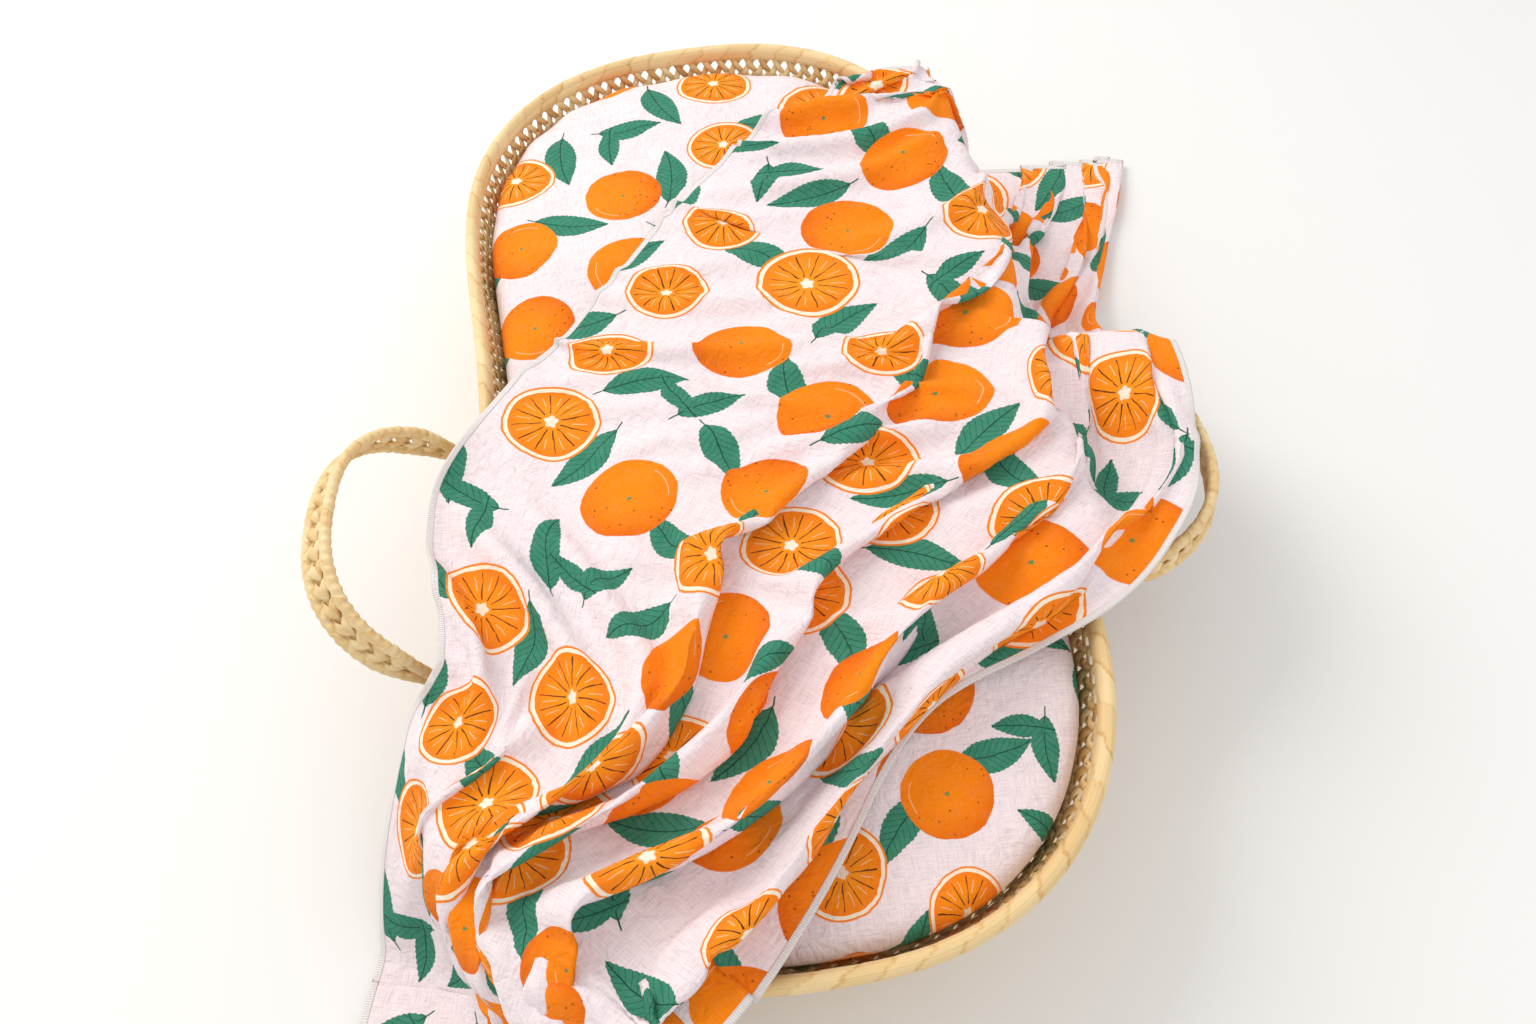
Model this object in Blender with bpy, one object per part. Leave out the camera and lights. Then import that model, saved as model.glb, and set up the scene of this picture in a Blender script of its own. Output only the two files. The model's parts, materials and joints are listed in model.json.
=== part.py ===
"""Low oval palm-leaf basket for a baby, with two strap handles, a mattress in a
fitted sheet and a muslin swaddle blanket lying over it.

The origin is the middle of the base on the floor. +Z is up, +Y runs along the
basket to the head end and +X to the right. All sizes are in metres.
"""
import math

import bmesh
import bpy
from mathutils import Matrix, Vector

# Oval of the rim
RIM_LENGTH = 0.84
RIM_FULL_WIDTH = 0.505       # width that the oval would have without its waist
WAIST_PINCH = 0.23           # share of that width taken in at the middle
OVAL_EXPONENT = 2.5          # 2 is an ellipse, more is squarer
STATIONS = 40                # sections round the oval

# Basket
RIM_HEIGHT = 0.130
RIM_RADIUS = 0.006
WRAP_THICKNESS = 0.0026
WRAP_SKIRT = 0.010
HOOP_RADIUS = 0.0024
BASE_INSET = 0.036
BASE_THICKNESS = 0.007
BASE_COURSE_WIDTH = 0.036
BASE_COURSES = 3
WALL_THICKNESS = 0.005
WALL_COURSES = 3
SEAM_GAP = 0.003
SEAM_RADIUS = 0.001

# Handles
HANDLE_CENTRE_Y = -0.105
HANDLE_HALF_SPAN = 0.090
HANDLE_HEIGHT = 0.104
HANDLE_DROP = 0.027          # hinge axis below the top of the rim
HANDLE_STAND_OFF = 0.011     # hinge axis outside the rim
STRAP_THICKNESS = 0.005
STRAP_WIDTH = 0.0165
STRAP_ROOT_WIDTH = 0.011
EDGE_CORD_RADIUS = 0.0034
EYE_RADIUS = 0.0060
EYE_WIDTH = 0.013
LASH_RADIUS = 0.0022
LASH_HALF_WIDTH = 0.012
LEFT_LEAN = 42.0             # degrees from upright, outward
RIGHT_LEAN = 78.0

# Mattress and its sheet
SHEET_TOP = 0.112
SHEET_THICKNESS = 0.002
SHEET_WALL_GAP = 0.0018      # side of the sheet to the wall, where they are closest
SHEET_HEM_WIDTH = 0.035
ELASTIC_RADIUS = 0.0009

# Blanket
BLANKET_THICKNESS = 0.012
BLANKET_HEAP = 0.022
BLANKET_FALL = 0.034         # how far it runs level past the rim before it falls
BLANKET_ROWS = 34
BLANKET_COLUMNS = 22

CLEARANCE = 0.0003

SLOPE = (BASE_INSET + WALL_THICKNESS / 2 - RIM_RADIUS) / (RIM_HEIGHT - RIM_RADIUS - BASE_THICKNESS)


def clear_scene():
    for thing in list(bpy.data.objects):
        bpy.data.objects.remove(thing, do_unlink=True)


def collection(name):
    made = bpy.data.collections.new(name)
    bpy.context.scene.collection.children.link(made)
    return made


def material(name, colour, roughness):
    made = bpy.data.materials.new(name)
    made.use_nodes = True
    shader = made.node_tree.nodes["Principled BSDF"]
    shader.inputs["Base Color"].default_value = (*colour, 1.0)
    shader.inputs["Roughness"].default_value = roughness
    shader.inputs["Metallic"].default_value = 0.0
    return made


# The oval

def waist_share(along):
    return WAIST_PINCH * (0.5 + 0.5 * math.cos(math.pi * along))


def oval_point(angle, inset):
    """Point of the oval that lies inset inside the rim's outer edge."""
    across = math.copysign(abs(math.cos(angle)) ** (2 / OVAL_EXPONENT), math.cos(angle))
    along = math.copysign(abs(math.sin(angle)) ** (2 / OVAL_EXPONENT), math.sin(angle))
    half_width = RIM_FULL_WIDTH / 2 * (1 - waist_share(along)) - inset
    return half_width * across, (RIM_LENGTH / 2 - inset) * along


def oval_half_width(y, inset):
    along = min(1.0, abs(y) / (RIM_LENGTH / 2 - inset))
    half_width = RIM_FULL_WIDTH / 2 * (1 - waist_share(along)) - inset
    return half_width * (1 - along ** OVAL_EXPONENT) ** (1 / OVAL_EXPONENT)


def station_angles():
    """Angles that space the stations evenly round the oval."""
    fine = 2000
    points = [Vector(oval_point(2 * math.pi * i / fine, BASE_INSET)) for i in range(fine + 1)]
    travelled = [0.0]
    for before, after in zip(points, points[1:]):
        travelled.append(travelled[-1] + (after - before).length)
    angles = []
    step = 0
    for station in range(STATIONS):
        target = travelled[-1] * station / STATIONS
        while travelled[step + 1] < target:
            step += 1
        angles.append(2 * math.pi * step / fine)
    return angles


def rim_inset(x, y):
    """How far a point lies inside the rim's outer edge; negative outside."""
    def level(px, py):
        along = py / (RIM_LENGTH / 2)
        half_width = RIM_FULL_WIDTH / 2 * (1 - waist_share(max(-1.0, min(1.0, along))))
        return ((abs(px) / half_width) ** OVAL_EXPONENT
                + abs(along) ** OVAL_EXPONENT) ** (1 / OVAL_EXPONENT)
    step = 0.001
    here = level(x, y)
    slope_x = (level(x + step, y) - here) / step
    slope_y = (level(x, y + step) - here) / step
    return (1 - here) / max(math.hypot(slope_x, slope_y), 1.5)


# Makers

def finish_mesh(bm, name, finish, smooth=True):
    bmesh.ops.recalc_face_normals(bm, faces=bm.faces[:])
    mesh = bpy.data.meshes.new(name)
    bm.to_mesh(mesh)
    bm.free()
    if smooth:
        mesh.shade_smooth()
        mesh.set_sharp_from_angle(angle=math.radians(40))
    made = bpy.data.objects.new(name, mesh)
    mesh.materials.append(finish)
    PART.objects.link(made)
    return made


def oval_loop(bm, inset, z):
    return [bm.verts.new((*oval_point(angle, inset), z)) for angle in ANGLES]


def join_loops(bm, first, second):
    count = len(first)
    for i in range(count):
        after = (i + 1) % count
        bm.faces.new((first[i], first[after], second[after], second[i]))


def oval_ring(name, profile, finish):
    """A closed profile of (inset, height) points carried round the oval."""
    bm = bmesh.new()
    loops = [oval_loop(bm, inset, z) for inset, z in profile]
    for i, loop in enumerate(loops):
        join_loops(bm, loop, loops[(i + 1) % len(loops)])
    return finish_mesh(bm, name, finish)


def oval_slab(name, profile, finish):
    """An open profile carried round the oval, closed by its first and last ovals."""
    bm = bmesh.new()
    loops = [oval_loop(bm, inset, z) for inset, z in profile]
    for first, second in zip(loops, loops[1:]):
        join_loops(bm, first, second)
    bm.faces.new(loops[0])
    bm.faces.new(loops[-1])
    return finish_mesh(bm, name, finish)


def cord(name, points, radius, finish, cyclic=False, sides=0):
    curve = bpy.data.curves.new(name, "CURVE")
    curve.dimensions = "3D"
    curve.bevel_depth = radius
    curve.bevel_resolution = sides
    curve.use_fill_caps = not cyclic
    spline = curve.splines.new("POLY")
    spline.points.add(len(points) - 1)
    for point, place in zip(spline.points, points):
        point.co = (*place, 1.0)
    spline.use_cyclic_u = cyclic
    curve.materials.append(finish)
    made = bpy.data.objects.new(name, curve)
    PART.objects.link(made)
    return made


def oval_cord(name, inset, z, radius, finish, sides=0):
    points = [(*oval_point(angle, inset), z) for angle in ANGLES]
    return cord(name, points, radius, finish, cyclic=True, sides=sides)


# Basket: base mat, wall, rim

def wall_inset(z):
    """Inset of the middle of the wall, which leans outward as it rises."""
    return RIM_RADIUS + SLOPE * (RIM_HEIGHT - RIM_RADIUS - z)


def make_base():
    centre_inset = BASE_INSET + BASE_COURSES * (BASE_COURSE_WIDTH + SEAM_GAP)
    oval_slab("base_centre", [(centre_inset, 0.0), (centre_inset, BASE_THICKNESS)], PALM)
    for course in range(BASE_COURSES):
        outer = BASE_INSET + course * (BASE_COURSE_WIDTH + SEAM_GAP)
        inner = outer + BASE_COURSE_WIDTH
        profile = [(outer, 0.0), (inner, 0.0), (inner, BASE_THICKNESS), (outer, BASE_THICKNESS)]
        oval_ring(f"base_course_{course + 1}", profile, PALM)
        oval_cord(f"base_seam_{course + 1}", inner + SEAM_GAP / 2, BASE_THICKNESS / 2,
                  SEAM_RADIUS, RAFFIA)


def make_wall():
    top = RIM_HEIGHT - RIM_RADIUS - HOOP_RADIUS - 2 * CLEARANCE
    height = (top - BASE_THICKNESS) / WALL_COURSES - SEAM_GAP
    half = WALL_THICKNESS / 2
    edge = WALL_THICKNESS / 3
    low = BASE_THICKNESS
    for course in range(WALL_COURSES):
        oval_cord(f"wall_seam_{course + 1}", wall_inset(low + SEAM_GAP / 2),
                  low + SEAM_GAP / 2, SEAM_RADIUS, RAFFIA)
        low += SEAM_GAP
        high = low + height
        profile = []
        for side, z in ((0, low), (half, low + edge), (half, high - edge),
                        (0, high), (-half, high - edge), (-half, low + edge)):
            profile.append((wall_inset(z) + side, z))
        oval_ring(f"wall_course_{course + 1}", profile, PALM)
        low = high


def make_rim():
    middle = RIM_HEIGHT - RIM_RADIUS
    oval_cord("rim_hoop", RIM_RADIUS, middle, HOOP_RADIUS, REED, sides=1)
    outer = RIM_RADIUS
    inner = RIM_RADIUS - WRAP_THICKNESS
    grip = WALL_THICKNESS / 2 + 3 * CLEARANCE
    skirt = middle - WRAP_SKIRT
    knee = middle - WRAP_SKIRT / 2
    half_outer = [(outer, knee), (outer, middle + outer * 0.25),
                  (outer * 0.62, middle + outer * 0.82)]
    half_inner = [(inner, knee), (inner, middle + inner * 0.45)]
    points = [(grip + WRAP_THICKNESS, skirt), *half_outer, (0.0, middle + outer)]
    points += [(-across, z) for across, z in reversed(half_outer)]
    points += [(-grip - WRAP_THICKNESS, skirt), (-grip, skirt)]
    points += [(-across, z) for across, z in half_inner]
    points += [(0.0, middle + inner * 1.02)]
    points += [(across, z) for across, z in reversed(half_inner)]
    points += [(grip, skirt)]
    profile = [(RIM_RADIUS + across + SLOPE * max(0.0, middle - z), z) for across, z in points]
    oval_ring("rim_wrap", profile, PALM)


# Handles

def handle_place(side):
    """Hinge frame of a handle: x outward, y along the hinge, z up at the rest lean of 0."""
    ends = []
    for end in (-1, 1):
        y = HANDLE_CENTRE_Y + end * HANDLE_HALF_SPAN
        ends.append(Vector((side * (oval_half_width(y, 0.0) + HANDLE_STAND_OFF), y, 0.0)))
    origin = (ends[0] + ends[1]) / 2
    origin.z = RIM_HEIGHT - HANDLE_DROP
    along = (ends[1] - ends[0]).normalized()
    up = Vector((0.0, 0.0, 1.0))
    outward = along.cross(up) * side
    frame = Matrix((outward, along * side, up)).transposed().to_4x4()
    return Matrix.Translation(origin) @ frame


def arch_point(share, grow=0.0):
    """Point of the loop at a share of its length, as (along the hinge, up)."""
    angle = math.pi * share
    round_to = 2 / OVAL_EXPONENT
    s = math.copysign(abs(math.cos(angle)) ** round_to, math.cos(angle))
    up = abs(math.sin(angle)) ** round_to
    rise = HANDLE_HEIGHT - EYE_RADIUS
    return -(HANDLE_HALF_SPAN + grow) * s, EYE_RADIUS + CLEARANCE + (rise + grow) * up


def strap_width(share):
    near_root = min(share, 1 - share)
    blend = min(1.0, max(0.0, (near_root - 0.02) / 0.13))
    blend = blend * blend * (3 - 2 * blend)
    return STRAP_ROOT_WIDTH + (STRAP_WIDTH - STRAP_ROOT_WIDTH) * blend


def make_strap(name, pivot):
    count = 22
    half = STRAP_THICKNESS / 2
    bm = bmesh.new()
    loops = []
    for i in range(count + 1):
        share = i / count
        inner = arch_point(share, -half)
        outer = arch_point(share, half)
        if i in (0, count):
            inner = (inner[0], EYE_RADIUS + CLEARANCE)
            outer = (outer[0], EYE_RADIUS + CLEARANCE)
        reach = strap_width(share) / 2
        corners = [(-reach, inner), (reach, inner), (reach, outer), (-reach, outer)]
        loops.append([bm.verts.new((x, *place)) for x, place in corners])
    for first, second in zip(loops, loops[1:]):
        join_loops(bm, first, second)
    bm.faces.new(loops[0])
    bm.faces.new(loops[-1])
    made = finish_mesh(bm, name, PALM)
    made.parent = pivot
    return made


def make_eye(name, pivot, y):
    """The turned-over end of the strap, a short sleeve round the hinge axis."""
    bore = LASH_RADIUS + 2 * CLEARANCE
    bm = bmesh.new()
    sides = 12
    loops = []
    for radius, shift in ((bore, -1), (EYE_RADIUS, -1), (EYE_RADIUS, 1), (bore, 1)):
        loop = []
        for i in range(sides):
            turn = 2 * math.pi * (i + 0.5) / sides
            place = (radius * math.sin(turn), y + shift * EYE_WIDTH / 2, radius * math.cos(turn))
            loop.append(bm.verts.new(place))
        loops.append(loop)
    for i, loop in enumerate(loops):
        join_loops(bm, loop, loops[(i + 1) % 4])
    made = finish_mesh(bm, name, PALM)
    made.parent = pivot
    return made


def make_handle(word, side, lean):
    hinge = handle_place(side)
    pivot = bpy.data.objects.new(f"{word}_handle_hinge", None)
    PART.objects.link(pivot)
    pivot.matrix_world = hinge @ Matrix.Rotation(math.radians(lean), 4, "Y")
    make_strap(f"{word}_handle_strap", pivot)
    offset = STRAP_WIDTH / 2 + EDGE_CORD_RADIUS + CLEARANCE
    for edge, x in (("inner", -offset), ("outer", offset)):
        points = []
        for i in range(17):
            share = 0.16 + 0.68 * i / 16
            points.append((x, *arch_point(share)))
        cord(f"{word}_handle_edge_{edge}", points, EDGE_CORD_RADIUS, PALM, sides=1).parent = pivot
    axis_height = RIM_HEIGHT - HANDLE_DROP
    for end, y in (("foot", -side * HANDLE_HALF_SPAN), ("head", side * HANDLE_HALF_SPAN)):
        make_eye(f"{word}_handle_eye_{end}", pivot, y)
        arms = []
        for shift in (-LASH_HALF_WIDTH, LASH_HALF_WIDTH):
            on_axis = hinge @ Vector((0.0, y + shift, 0.0))
            leaning_in = wall_inset(axis_height + LASH_RADIUS) - WALL_THICKNESS / 2
            face = oval_half_width(on_axis.y, leaning_in) + 3 * CLEARANCE
            arms.append((on_axis, Vector((side * face, on_axis.y, axis_height))))
        (axis_a, wall_a), (axis_b, wall_b) = arms
        cord(f"{word}_handle_lashing_{end}", [wall_a, axis_a, axis_b, wall_b],
             LASH_RADIUS, RAFFIA, sides=1)


# Mattress, fitted sheet and its elastic

def sheet_profile(shrink):
    """Side of the covered mattress from the base up; shrink moves it inside."""
    floor = BASE_THICKNESS + 2 * CLEARANCE
    height = SHEET_TOP - floor
    rise = ((0.0, 0.002), (0.22, 0.0), (0.50, 0.0), (0.70, 0.001),
            (0.86, 0.004), (0.95, 0.012), (1.0, 0.028))
    points = []
    for share, draw_in in rise:
        z = floor + share * height
        inset = wall_inset(z) + WALL_THICKNESS / 2 + SHEET_WALL_GAP + draw_in
        if share > 0.9:
            z -= shrink
        if share < 0.1:
            z += shrink
        points.append((inset + shrink, z))
    return points


def make_mattress():
    outside = sheet_profile(0.0)
    inside = sheet_profile(SHEET_THICKNESS)
    core = sheet_profile(SHEET_THICKNESS + CLEARANCE)
    floor = BASE_THICKNESS + 2 * CLEARANCE
    under = floor + SHEET_THICKNESS + CLEARANCE
    hem_end = outside[0][0] + SHEET_HEM_WIDTH
    step = hem_end + 4 * ELASTIC_RADIUS + 2 * CLEARANCE
    oval_slab("mattress_core", [(step, floor), (step, under), *core], FOAM)
    bm = bmesh.new()
    chain = [(hem_end, floor), *outside]
    loops = [oval_loop(bm, inset, z) for inset, z in chain]
    for first, second in zip(loops, loops[1:]):
        join_loops(bm, first, second)
    bm.faces.new(loops[-1])
    inner = [oval_loop(bm, hem_end, floor + SHEET_THICKNESS),
             oval_loop(bm, inside[0][0], floor + SHEET_THICKNESS)]
    inner += [oval_loop(bm, inset, z) for inset, z in inside[1:]]
    for first, second in zip(inner, inner[1:]):
        join_loops(bm, first, second)
    bm.faces.new(inner[-1])
    join_loops(bm, loops[0], inner[0])
    finish_mesh(bm, "fitted_sheet", COTTON)
    oval_cord("sheet_elastic", hem_end + 2 * ELASTIC_RADIUS, floor + ELASTIC_RADIUS,
              ELASTIC_RADIUS, ELASTIC)


# Blanket

LEFT_EDGE = ((0.150, 0.318), (0.082, 0.290), (0.027, 0.262), (-0.045, 0.175),
             (-0.087, 0.119), (-0.130, 0.060), (-0.155, 0.005), (-0.158, -0.070),
             (-0.162, -0.145), (-0.170, -0.222), (-0.270, -0.262), (-0.315, -0.320),
             (-0.325, -0.385), (-0.320, -0.460))
RIGHT_EDGE = ((0.400, 0.345), (0.398, 0.290), (0.370, 0.225), (0.325, 0.150),
              (0.262, 0.060), (0.160, 0.008), (0.157, -0.050), (0.160, -0.115),
              (0.166, -0.185), (0.120, -0.232), (0.070, -0.280), (0.025, -0.345),
              (-0.015, -0.395), (-0.060, -0.430))


def edge_point(points, share):
    place = share * (len(points) - 1)
    first = min(int(place), len(points) - 2)
    return Vector(points[first]).lerp(Vector(points[first + 1]), place - first)


def step_through(value, steps):
    """Piecewise height over rising (position, height) steps."""
    if value <= steps[0][0]:
        return steps[0][1]
    for (low, low_height), (high, high_height) in zip(steps, steps[1:]):
        if value <= high:
            share = (value - low) / (high - low)
            return low_height + share * (high_height - low_height)
    return steps[-1][1]


def blanket_underside(x, y):
    lie = 4 * CLEARANCE
    over_rim = RIM_HEIGHT + lie
    steps = ((-BLANKET_FALL - 0.045, lie), (-BLANKET_FALL, over_rim),
             (2 * RIM_RADIUS + BLANKET_FALL, over_rim),
             (2 * RIM_RADIUS + BLANKET_FALL + 0.030, SHEET_TOP + lie))
    return step_through(rim_inset(x, y), steps)


def make_blanket():
    bm = bmesh.new()
    bmesh.ops.create_grid(bm, x_segments=BLANKET_COLUMNS, y_segments=BLANKET_ROWS, size=0.5)
    for vert in bm.verts:
        down = 0.5 - vert.co.y
        place = edge_point(LEFT_EDGE, down).lerp(edge_point(RIGHT_EDGE, down), vert.co.x + 0.5)
        vert.co = (place.x, place.y, blanket_underside(place.x, place.y))
    grown = bmesh.ops.extrude_face_region(bm, geom=bm.faces[:])
    for vert in grown["geom"]:
        if isinstance(vert, bmesh.types.BMVert):
            heap = math.exp(-(vert.co.x / 0.12) ** 2 - ((vert.co.y - 0.02) / 0.20) ** 2)
            vert.co.z += BLANKET_THICKNESS + BLANKET_HEAP * heap
    finish_mesh(bm, "swaddle_blanket", COTTON)


clear_scene()
PART = collection("baby_basket")
PALM = material("palm_leaf", (0.72, 0.50, 0.26), 0.55)
RAFFIA = material("raffia", (0.78, 0.60, 0.34), 0.60)
REED = material("reed", (0.66, 0.47, 0.26), 0.50)
FOAM = material("foam", (0.86, 0.84, 0.78), 0.90)
COTTON = material("printed_muslin", (0.90, 0.78, 0.78), 0.85)
ELASTIC = material("elastic", (0.90, 0.90, 0.88), 0.60)
ANGLES = station_angles()
make_base()
make_wall()
make_rim()
make_handle("left", -1, LEFT_LEAN)
make_handle("right", 1, RIGHT_LEAN)
make_mattress()
make_blanket()
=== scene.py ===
"""Low oval palm-leaf baby basket with strap handles, a mattress in a fitted
muslin sheet and a muslin swaddle blanket in folds over it."""
import math
import random

import bmesh
import bpy
import json
import numpy as np
from mathutils import Matrix, Vector, noise
from mathutils.bvhtree import BVHTree
from mathutils.kdtree import KDTree


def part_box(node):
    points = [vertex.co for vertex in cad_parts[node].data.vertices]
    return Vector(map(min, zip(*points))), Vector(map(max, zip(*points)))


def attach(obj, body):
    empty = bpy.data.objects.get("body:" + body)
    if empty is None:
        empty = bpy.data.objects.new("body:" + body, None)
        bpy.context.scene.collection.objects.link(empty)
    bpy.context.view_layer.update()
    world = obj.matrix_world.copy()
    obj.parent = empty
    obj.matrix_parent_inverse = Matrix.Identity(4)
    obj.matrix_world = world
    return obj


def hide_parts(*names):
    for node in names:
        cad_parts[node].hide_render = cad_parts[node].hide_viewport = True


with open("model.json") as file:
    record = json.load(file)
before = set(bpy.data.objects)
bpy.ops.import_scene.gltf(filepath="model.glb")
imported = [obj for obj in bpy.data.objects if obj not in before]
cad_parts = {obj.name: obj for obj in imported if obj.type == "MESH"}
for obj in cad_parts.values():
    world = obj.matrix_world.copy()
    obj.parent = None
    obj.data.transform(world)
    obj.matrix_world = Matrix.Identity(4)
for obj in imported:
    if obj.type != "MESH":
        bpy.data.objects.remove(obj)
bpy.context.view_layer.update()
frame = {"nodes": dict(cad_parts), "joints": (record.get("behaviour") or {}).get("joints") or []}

# Camera: held above the foot end and tipped towards the head end.
camera_data = bpy.data.cameras.new("camera")
camera_data.lens = 25.55
camera = bpy.data.objects.new("camera", camera_data)
bpy.context.scene.collection.objects.link(camera)
looking = Vector((0.0339, 0.5417, -0.8399)).normalized()
camera_right = looking.cross(Vector((0.1424, 0.8291, 0.5406))).normalized()
camera_up = camera_right.cross(looking)
camera_place = Vector((-0.0191, -0.5189, 0.7562))
turned = Matrix((camera_right, camera_up, -looking)).transposed().to_4x4()
camera.matrix_world = Matrix.Translation(camera_place) @ turned
bpy.context.scene.camera = camera

# Studio: a pale floor, a large soft light from the head end's left and a pale surround.
world = bpy.data.worlds.new("surround")
world.use_nodes = True
world.node_tree.nodes["Background"].inputs["Color"].default_value = (1.0, 0.985, 0.965, 1)
world.node_tree.nodes["Background"].inputs["Strength"].default_value = 0.70
bpy.context.scene.world = world
bpy.context.scene.view_settings.view_transform = "Standard"
for light_name, place, size, power, tint in (
        ("window", (-1.5, 1.3, 2.0), 1.6, 46.0, (1.0, 0.98, 0.95)),
        ("fill", (1.6, -1.4, 1.9), 2.4, 14.0, (0.95, 0.97, 1.0))):
    light_data = bpy.data.lights.new(light_name, "AREA")
    light_data.size = size
    light_data.energy = power
    light_data.color = tint
    light = bpy.data.objects.new(light_name, light_data)
    bpy.context.scene.collection.objects.link(light)
    light.location = place
    light.rotation_euler = (-Vector(place)).to_track_quat("-Z", "Y").to_euler()

floor_mesh = bpy.data.meshes.new("floor")
floor_bm = bmesh.new()
bmesh.ops.create_grid(floor_bm, x_segments=1, y_segments=1, size=6.0)
floor_bm.to_mesh(floor_mesh)
floor_bm.free()
floor = bpy.data.objects.new("floor", floor_mesh)
bpy.context.scene.collection.objects.link(floor)
floor.location.z = -0.0005


def new_material(name):
    """A material with a Principled shader, and that shader's inputs."""
    made = bpy.data.materials.new(name)
    made.use_nodes = True
    return made, made.node_tree.nodes["Principled BSDF"].inputs


floor_material, floor_look = new_material("floor")
floor_look["Base Color"].default_value = (0.89, 0.885, 0.875, 1)
floor_look["Roughness"].default_value = 0.95
floor_mesh.materials.append(floor_material)


# Base mat: plaited palm-leaf braid, laid flat in ovals and sewn edge to edge.
# Each braid is two layers of leaf ribbons that cross over and under.
OVAL_LENGTH = 0.84
OVAL_FULL_WIDTH = 0.505
OVAL_WAIST = 0.23
OVAL_POWER = 2.5
BASE_INSET = 0.036
BASE_COURSE = 0.036
SEAM = 0.003
BASE_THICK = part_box("base_centre")[1].z


def oval_point(angle, inset):
    across = math.copysign(abs(math.cos(angle)) ** (2 / OVAL_POWER), math.cos(angle))
    along = math.copysign(abs(math.sin(angle)) ** (2 / OVAL_POWER), math.sin(angle))
    waist = OVAL_WAIST * (0.5 + 0.5 * math.cos(math.pi * along))
    half_width = OVAL_FULL_WIDTH / 2 * (1 - waist) - inset
    return Vector((half_width * across, (OVAL_LENGTH / 2 - inset) * along))


def even_angles(count, inset):
    """Angles that space points evenly round the oval, and its length."""
    fine = 4000  # short chords, measured first
    points = np.array([oval_point(2 * math.pi * i / fine, inset) for i in range(fine + 1)])
    travelled = np.concatenate([[0], np.cumsum(np.linalg.norm(np.diff(points, axis=0), axis=1))])
    wanted = np.arange(count + 1) * travelled[-1] / count
    return np.interp(wanted, travelled, np.arange(fine + 1) * 2 * math.pi / fine), travelled[-1]


class Oval:
    """Point on the oval at a distance round it and an inset from the rim's outer edge."""

    STEPS = 3000

    def __init__(self, inset):
        self.angles, self.length = even_angles(self.STEPS, inset)

    def point(self, distance, inset):
        place = (distance / self.length) % 1.0 * self.STEPS
        step = int(place)
        angle = self.angles[step] + (self.angles[step + 1] - self.angles[step]) * (place - step)
        return oval_point(angle, inset)


def add_object(name, bm, smooth=True):
    mesh = bpy.data.meshes.new(name)
    bm.to_mesh(mesh)
    bm.free()
    if smooth:
        mesh.shade_smooth()
    made = bpy.data.objects.new(name, mesh)
    bpy.context.scene.collection.objects.link(made)
    return made


def plait(name, length, width, spacing, ribbon, lift, crossings, surface, seed=1,
          lanes=2, crown=0.0004, thickness=0.0007):
    """Ribbons of leaf that run slantwise across a band, over and under each other.

    surface(u, v, n) is the band's point at a distance along it, across it and out of it.
    """
    dice = random.Random(seed)
    bm = bmesh.new()
    uv = bm.loops.layers.uv.new("UVMap")
    tone = bm.verts.layers.float.new("tone")
    count = round(length / spacing)
    spacing = length / count
    lean = crossings * spacing / (2 * width)
    steps = max(8, round(width / 0.0028))
    tilt = math.atan(lean)
    for i in range(count):
        for way in (1, -1):
            shade = dice.random()
            start = i * spacing
            rows = []
            for k in range(steps + 1):
                v = width * (k / steps - 0.5) * way
                u = start + lean * (width / 2 + v * way)
                wave = math.cos(2 * math.pi * lean * (width / 2 - v) / spacing) * way
                row = []
                for lane in range(lanes + 1):
                    side = 2 * lane / lanes - 1
                    off = side * ribbon / 2
                    place = surface(u + off * math.cos(tilt), v - way * off * math.sin(tilt),
                                    lift * wave + crown * (1 - side * side) * math.copysign(1, wave))
                    vert = bm.verts.new(place)
                    vert[tone] = shade
                    row.append(vert)
                rows.append(row)
            run = dice.random() * 3
            for k in range(steps):
                for j in range(lanes):
                    corners = (rows[k][j], rows[k][j + 1], rows[k + 1][j + 1], rows[k + 1][j])
                    face = bm.faces.new(corners if way > 0 else corners[::-1])
                    for loop, (a, b) in zip(face.loops if way > 0 else list(face.loops)[::-1],
                                            ((k, j), (k, j + 1), (k + 1, j + 1), (k + 1, j))):
                        loop[uv].uv = (run + a * width / steps, run * 7 + b * ribbon / lanes)
    made = add_object(name, bm)
    thick = made.modifiers.new("leaf", "SOLIDIFY")
    thick.thickness = thickness
    thick.offset = 0.0
    return made


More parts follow.
